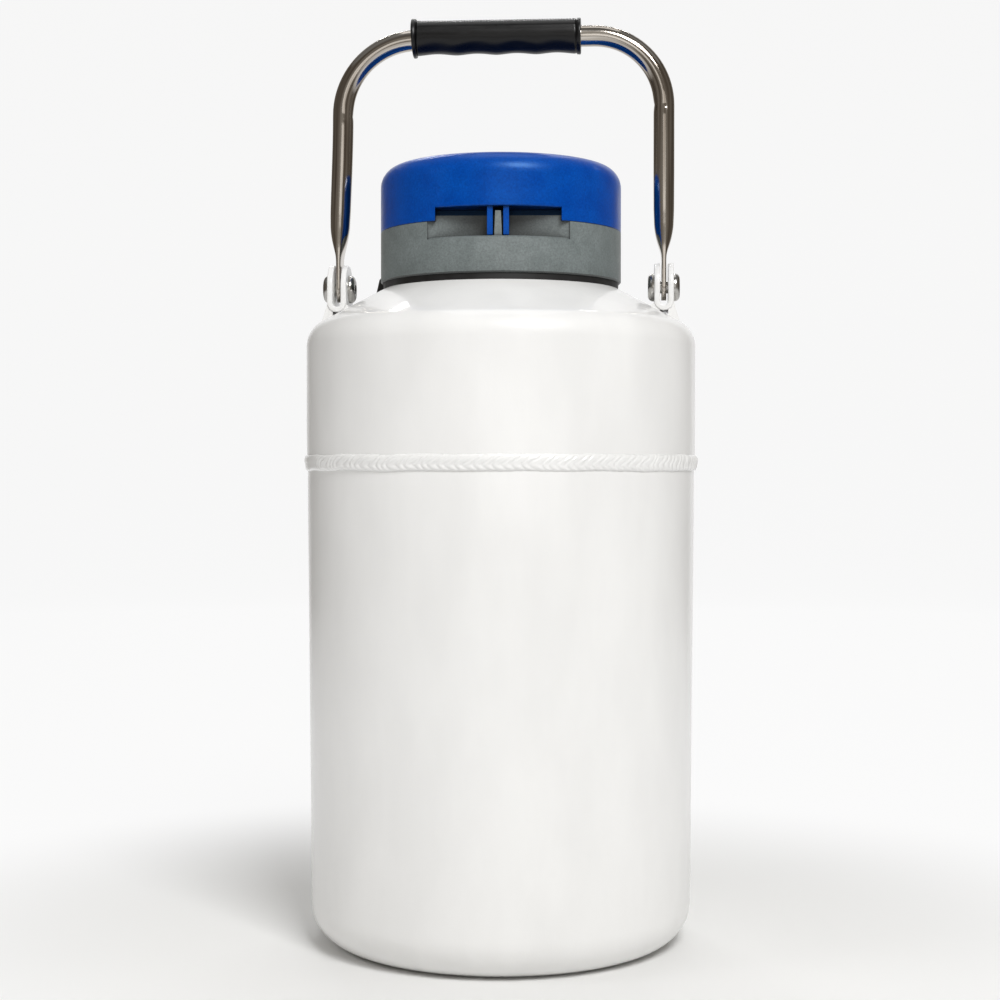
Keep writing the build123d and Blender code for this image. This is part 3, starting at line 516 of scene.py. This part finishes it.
def paintColour(tree, recipe, spot, patch):  # slow patches of two shades, then speckle, then painted shade in corners and recesses
    ramp = addNode(tree, "ValToRGB", {}, {"Fac": patch})
    for element, position, colour in zip(ramp.color_ramp.elements, (0.35, 0.65), recipe["colours"]):
        element.position = position
        element.color = linear(colour)
    colour = ramp.outputs["Color"]
    if "speckle" in recipe:  # fine light and dark points in the moulded grain
        size, depth = recipe["speckle"]
        points = addNode(tree, "TexNoise", {"Scale": perMetre(size), "Detail": 3.0, "Roughness": 0.7},
                         {"Vector": spot})
        shade = addNode(tree, "MapRange", {"From Min": 0.25, "From Max": 0.75, "To Min": 1 - depth,
                                           "To Max": 1 + depth}, {"Value": points.outputs["Fac"]})
        colour = addNode(tree, "VectorMath", {"operation": "MULTIPLY"},
                         {0: colour, 1: shade.outputs["Result"]}).outputs["Vector"]
    if "paintedHollowShade" in recipe:  # painted shade: the colour is darkened where an ambient occlusion test finds surfaces close by, in corners and recesses
        reach, darkest = recipe["paintedHollowShade"]
        openness = addNode(tree, "AmbientOcclusion", {"samples": 8, "Distance": reach * metres})
        shade = addNode(tree, "MapRange", {"From Min": 0.45, "From Max": 0.95, "To Min": darkest,
                                           "To Max": 1.0}, {"Value": openness.outputs["AO"]})
        colour = addNode(tree, "VectorMath", {"operation": "MULTIPLY"},
                         {0: colour, 1: shade.outputs["Result"]}).outputs["Vector"]
    return colour


def raiseGrain(tree, recipe, spot):  # each layer of grain lies on the one before
    normal = None
    for size, height, strength in recipe["grain"]:
        grain = addNode(tree, "TexNoise", {"Scale": perMetre(size), "Detail": 2.0, "Roughness": 0.6},
                        {"Vector": spot})
        links = {"Height": grain.outputs["Fac"]}
        if normal:
            links["Normal"] = normal
        normal = addNode(tree, "Bump", {"Strength": strength, "Distance": height * metres},
                         links).outputs["Normal"]
    return normal


def finish(recipe):
    material = bpy.data.materials.new(recipe["name"])
    material.use_nodes = True
    tree = material.node_tree
    shader = tree.nodes["Principled BSDF"]
    for socket, value in recipe["shader"].items():
        shader.inputs[socket].default_value = value
    if recipe.get("followsGrain"):  # the bail's own length and girth, stored on its mesh
        spot = addNode(tree, "Attribute", {"attribute_name": "grain"}).outputs["Vector"]
    else:
        spot = addNode(tree, "TexCoord").outputs["Object"]
    spot = addNode(tree, "Mapping", {"Scale": recipe.get("stretch", (1, 1, 1))},
                   {"Vector": spot}).outputs["Vector"]
    patch = addNode(tree, "TexNoise", {"Scale": perMetre(recipe["patchSize"]), "Detail": 4.0},
                    {"Vector": spot}).outputs["Fac"]
    tree.links.new(paintColour(tree, recipe, spot, patch), shader.inputs["Base Color"])
    low, high = recipe["roughness"]
    rough = addNode(tree, "MapRange", {"From Min": 0.3, "From Max": 0.7, "To Min": low, "To Max": high},
                    {"Value": patch})
    tree.links.new(rough.outputs["Result"], shader.inputs["Roughness"])
    tree.links.new(raiseGrain(tree, recipe, spot), shader.inputs["Normal"])
    if "wave" in recipe:  # a slow unevenness that only the gloss on top shows
        size, height = recipe["wave"]
        swell = addNode(tree, "TexNoise", {"Scale": perMetre(size), "Detail": 1.0}, {"Vector": spot})
        uneven = addNode(tree, "Bump", {"Strength": 1.0, "Distance": height * metres},
                         {"Height": swell.outputs["Fac"]})
        tree.links.new(uneven.outputs["Normal"], shader.inputs["Coat Normal"])
    return material


# Colours are hex, sizes millimetres. patchSize: slow patches of colour and gloss. grain: size, height and
# strength
# of each layer. speckle: size and depth of shade. wave: size and height. painted shade in hollows: reach and
# darkest.
finishes = {
    # Powder coat, baked on aluminium: near white, glossy skin over a fine orange peel
    "white_powder_coat": {
        "name": "whitePowderCoat",
        "colours": ("E7E7E6", "ECECEB"),
        "patchSize": 30.0,
        "stretch": (1, 1, 0.35),
        "roughness": (0.40, 0.5),
        "grain": ((2.2, 0.045, 0.5), (0.9, 0.03, 0.6)),  # real peel is near 0.5 mm, drawn coarser to show
        "wave": (14.0, 0.10),
        "shader": {"IOR": 1.45, "Coat Weight": 0.6, "Coat Roughness": 0.06, "Coat IOR": 1.5},
    },
    # Blue ABS, injection moulded against a spark-textured tool: satin, fine sand grain
    "blue_abs": {
        "name": "blueMouldedAbs",
        "colours": ("003E96", "00459F"),
        "patchSize": 12.0,
        "roughness": (0.28, 0.36),
        "grain": ((1.1, 0.06, 0.7),),
        "speckle": (1.1, 0.26),
        # painted shade: darkens the blue's corners and recesses, such as the notch over the lock
        "paintedHollowShade": (18.0, 0.2),
        "shader": {"IOR": 1.54, "Specular IOR Level": 0.32, "Specular Tint": (0.3, 0.62, 1.0, 1.0)},
    },
    # Grey ABS from the same kind of tool, a little duller
    "grey_abs": {
        "name": "greyMouldedAbs",
        "colours": ("6A7272", "727A7A"),
        "patchSize": 9.0,
        "roughness": (0.38, 0.48),
        "grain": ((1.1, 0.07, 0.7),),
        "speckle": (1.1, 0.28),
        # painted shade: darkens the grey's corners and recesses, such as the lock pocket
        "paintedHollowShade": (18.0, 0.22),
        "shader": {"IOR": 1.54},
    },
    # Nitrile rubber, pressed: near black with a soft broad gloss
    "black_gasket_rubber": {
        "name": "blackNitrileRubber",
        "colours": ("0D0D0E", "161617"),
        "patchSize": 8.0,
        "roughness": (0.42, 0.58),
        "grain": ((1.2, 0.04, 0.4),),
        "shader": {"IOR": 1.52},
    },
    # Grip in soft PVC, moulded: black, slightly oily gloss, dust in the texture
    "black_grip_rubber": {
        "name": "blackSoftPvc",
        "colours": ("050506", "0C0C0D"),
        "patchSize": 6.0,
        "stretch": (0.3, 1, 1),
        "roughness": (0.26, 0.38),
        "grain": ((1.0, 0.06, 0.5), (0.5, 0.03, 0.4)),
        "speckle": (1.0, 0.35),
        "shader": {"IOR": 1.5, "Specular IOR Level": 0.32},
    },
    # Stainless tube, mechanically polished along its length: fine streaks run with the tube
    "stainless_polished": {
        "name": "polishedStainless",
        "colours": ("8E857B", "CFC9C1"),
        "patchSize": 1.6,
        "followsGrain": True,
        "stretch": (1, 1, 0.02),
        "roughness": (0.07, 0.17),
        "grain": ((1.4, 0.02, 0.5),),
        "shader": {"Metallic": 1.0},
    },
    # Machined and tumbled stainless: bright, slightly softer than the tube
    "stainless_fastener": {
        "name": "tumbledStainless",
        "colours": ("A8A6A2", "B6B4B0"),
        "patchSize": 2.0,
        "roughness": (0.16, 0.26),
        "grain": ((0.8, 0.01, 0.4),),
        "shader": {"Metallic": 1.0},
    },
    # Spun aluminium, bare: soft grey with fine rings left by the tool
    "bare_aluminium": {
        "name": "spunAluminium",
        "colours": ("B4B6B8", "C6C8CA"),
        "patchSize": 14.0,
        "stretch": (0.15, 0.15, 3.0),
        "roughness": (0.28, 0.42),
        "grain": ((1.6, 0.02, 0.5),),
        "shader": {"Metallic": 1.0},
    },
    # Glass-fibre laminate: greenish, slightly translucent, wound threads
    "glass_fibre_neck": {
        "name": "glassFibreLaminate",
        "colours": ("A9AE84", "BCC09A"),
        "patchSize": 3.0,
        "stretch": (0.4, 0.4, 2.0),
        "roughness": (0.3, 0.45),
        "grain": ((1.2, 0.05, 0.5),),
        "shader": {"IOR": 1.54},
    },
    # Foil and paper wrap: crinkled, bright
    "foil_insulation": {
        "name": "crinkledFoil",
        "colours": ("C2C4C6", "D6D8DA"),
        "patchSize": 20.0,
        "roughness": (0.2, 0.38),
        "grain": ((9.0, 0.9, 0.6), (3.0, 0.3, 0.5)),
        "shader": {"Metallic": 1.0},
    },
    # White moulded plastic of the plate and the index ring
    "white_plastic": {
        "name": "whiteMouldedPlastic",
        "colours": ("DEDEDA", "E6E6E2"),
        "patchSize": 10.0,
        "roughness": (0.36, 0.46),
        "grain": ((0.8, 0.03, 0.4),),
        "shader": {"IOR": 1.49},
    },
    # Rigid foam, moulded in a bag: beads just show
    "white_foam": {
        "name": "rigidBeadFoam",
        "colours": ("E2E1DB", "ECEBE6"),
        "patchSize": 5.0,
        "roughness": (0.7, 0.85),
        "grain": ((3.2, 0.35, 0.7), (1.0, 0.08, 0.4)),
        "shader": {"IOR": 1.45},
    },
}

print("making the materials")
looks = {slotName: finish(recipe) for slotName, recipe in finishes.items()}

print("making the jacket, the weld and the lugs")
made = {
    "white_powder_coat": [makeCan(), makeShoulder(), makeWeld(), makeLug(1), makeLug(-1)],
    "stainless_polished": [],
    "black_grip_rubber": [],
}
print("making the bail and its grip")
made["stainless_polished"].append(makeBail())
made["black_grip_rubber"].append(makeGrip())
for slotName, pieces in made.items():
    for piece in pieces:
        piece.data.materials.append(looks[slotName])

print("finishing the packed nodes")
slotOf = {entry["node"]: entry["material_slot"] for entry in frame["record"]["subparts"]}
for nodeName, node in nodes.items():
    node.data.materials.clear()
    node.data.materials.append(looks[slotOf[nodeName]])


studio = {
    "floorRadius": 2.6,  # metres, as far as the curve up into the wall
    "curveRadius": 0.8,
    "wallHeight": 3.4,
    "columns": 96,
    "nearRadius": 0.16,  # plain lit paper as far as here,
    "farRadius": 0.48,  # and evenly glowing from here on
    "paper": "ECECEB",
    "glowPaper": "4A4A4A",
    "glowStrength": 0.93,
    "pale": "FAFAFA",
    # how pale the wall is in light and gloss, by turn from straight behind the camera: place and colour
    "wall": ((0.0, "A39F98"), (0.10, "6F6860"), (0.25, "5E574E"), (0.40, "655E55"), (0.445, "FAFAFA"),
             (0.555, "FAFAFA"), (0.60, "655E55"), (0.75, "5E574E"), (0.90, "7B746B"), (1.0, "A39F98")),
    "wallStart": 0.9,  # metres out, where the floor starts to take on the wall's shade
    "aimHeight": 0.25,  # the lamps all face this height on the dewar's axis
}


def makeStudio():  # a round sweep of paper: pale to look at, darker in the steel's reflections
    outline = [(r, 0.0) for r in (0.02, 0.1, 0.2, 0.4, 0.7, 1.1, 1.6, 2.1, studio["floorRadius"])]
    outline += arc(studio["floorRadius"], studio["curveRadius"], studio["curveRadius"], -90, 0, 14)[1:]
    outline.append((outline[-1][0], studio["wallHeight"]))
    outline = [(r / metres, z / metres) for r, z in outline]
    sweep = turned("studioSweep", outline, studio["columns"], wrapRows=False)
    material = bpy.data.materials.new("studioPaper")
    material.use_nodes = True
    tree = material.node_tree
    shader = tree.nodes["Principled BSDF"]
    shader.inputs["Roughness"].default_value = 0.9
    shader.inputs["Specular IOR Level"].default_value = 0.1
    spot = addNode(tree, "SeparateXYZ", {}, {"Vector": addNode(tree, "TexCoord").outputs["Object"]})
    turn = addNode(tree, "Math", {"operation": "ARCTAN2"}, {0: spot.outputs["X"], 1: spot.outputs["Y"]})
    share = addNode(tree, "MapRange", {"From Min": -math.pi, "From Max": math.pi},
                    {"Value": turn.outputs["Value"]})
    wall = addNode(tree, "ValToRGB", {}, {"Fac": share.outputs["Result"]})
    ramp = wall.color_ramp
    ramp.interpolation = "EASE"
    ramp.elements[0].color = linear(studio["wall"][0][1])
    ramp.elements[1].color = linear(studio["wall"][-1][1])
    for position, colour in studio["wall"][1:-1]:
        ramp.elements.new(position).color = linear(colour)
    flat = addNode(tree, "CombineXYZ", {}, {"X": spot.outputs["X"], "Y": spot.outputs["Y"]})
    out = addNode(tree, "VectorMath", {"operation": "LENGTH"}, {"Vector": flat.outputs["Vector"]})
    shade = addNode(tree, "MapRange", {"From Min": studio["wallStart"], "From Max": studio["floorRadius"]},
                    {"Value": out.outputs["Value"]})
    seen = addNode(tree, "LightPath").outputs["Is Camera Ray"]  # looked at directly, it is pale all round
    lit = addNode(tree, "Math", {"operation": "SUBTRACT", 0: 1.0}, {1: seen})
    shadeLit = addNode(tree, "Math", {"operation": "MULTIPLY"},
                       {0: shade.outputs["Result"], 1: lit.outputs["Value"]})
    pale = addNode(tree, "Mix", {"data_type": "RGBA"}, {0: shadeLit.outputs["Value"]})
    pale.inputs[6].default_value = linear(studio["pale"])
    tree.links.new(wall.outputs["Color"], pale.inputs[7])
    away = addNode(tree, "MapRange", {"From Min": studio["nearRadius"], "From Max": studio["farRadius"],
                                      "interpolation_type": "SMOOTHSTEP"}, {"Value": out.outputs["Value"]})
    paper = addNode(tree, "Mix", {"data_type": "RGBA"}, {0: away.outputs["Result"]})
    paper.inputs[6].default_value = linear(studio["paper"])
    paper.inputs[7].default_value = linear(studio["glowPaper"])
    tree.links.new(paper.outputs[2], shader.inputs["Base Color"])
    tree.links.new(pale.outputs[2], shader.inputs["Emission Color"])
    glow = addNode(tree, "Math", {"operation": "MULTIPLY", 1: studio["glowStrength"]},
                   {0: away.outputs["Result"]})
    tree.links.new(glow.outputs["Value"], shader.inputs["Emission Strength"])
    sweep.data.materials.append(material)


lamps = (
    # name, turn from straight in front, height angle, distance, width, height, watts, shows in gloss
    ("keySoftbox", 24.0, 43.0, 2.4, 0.8, 0.8, 42.0, True),
    ("leftSoftbox", -62.0, 28.0, 0.95, 0.35, 0.35, 1.3, False),
    ("rightFill", 84.0, 12.0, 2.4, 0.5, 1.4, 4.0, False),
    ("frontPanel", 5.0, 7.0, 2.7, 1.3, 0.9, 3.2, True),
    ("topSoftbox", 180.0, 80.0, 2.3, 1.2, 1.2, 5.0, True),
    ("backStripLeft", 176.0, 52.0, 2.4, 1.0, 0.04, 4.0, True),
    ("backStripRight", 200.0, 42.0, 2.4, 0.35, 0.08, 2.5, True),
)


def makeLamp(name, turn, rise, distance, width, height, watts, showsInGloss):
    data = bpy.data.lights.new(name, "AREA")
    data.shape = "RECTANGLE"
    data.size = width
    data.size_y = height
    data.energy = watts
    lamp = bpy.data.objects.new(name, data)
    turn, rise = math.radians(turn), math.radians(rise)
    aim = Vector((math.sin(turn) * math.cos(rise), -math.cos(turn) * math.cos(rise), math.sin(rise)))
    lamp.location = aim * distance + Vector((0, 0, studio["aimHeight"]))
    lamp.rotation_euler = aim.to_track_quat("Z", "Y").to_euler()
    lamp.visible_glossy = showsInGloss
    lamp.visible_camera = False
    bpy.context.scene.collection.objects.link(lamp)


room = {"ceiling": "F0F0EE", "strength": 0.3}


def makeRoom():  # what shows above the open top of the sweep
    world = bpy.data.worlds.new("studioRoom")
    bpy.context.scene.world = world
    world.use_nodes = True
    background = world.node_tree.nodes["Background"]
    background.inputs["Color"].default_value = linear(room["ceiling"])
    background.inputs["Strength"].default_value = room["strength"]


camera = {
    "distance": 1.0764,  # from the dewar's axis
    "height": 0.2688,
    "azimuth": 4.0,  # degrees towards +X
    "pitchDown": 0.88,
    "yaw": 0.028,
    "focalLength": 67.12,
}


def makeCamera():
    data = bpy.data.cameras.new("studioCamera")
    data.lens = camera["focalLength"]
    data.sensor_width = 36.0
    eye = bpy.data.objects.new("studioCamera", data)
    azimuth = math.radians(camera["azimuth"])
    eye.location = (camera["distance"] * math.sin(azimuth), -camera["distance"] * math.cos(azimuth),
                    camera["height"])
    eye.rotation_euler = (math.radians(90 - camera["pitchDown"]), 0,
                          math.radians(camera["azimuth"] + camera["yaw"]))
    bpy.context.scene.collection.objects.link(eye)
    bpy.context.scene.camera = eye


print("setting the studio")
makeStudio()
for lampValues in lamps:
    makeLamp(*lampValues)
makeRoom()
makeCamera()
bpy.context.scene.view_settings.view_transform = "Standard"
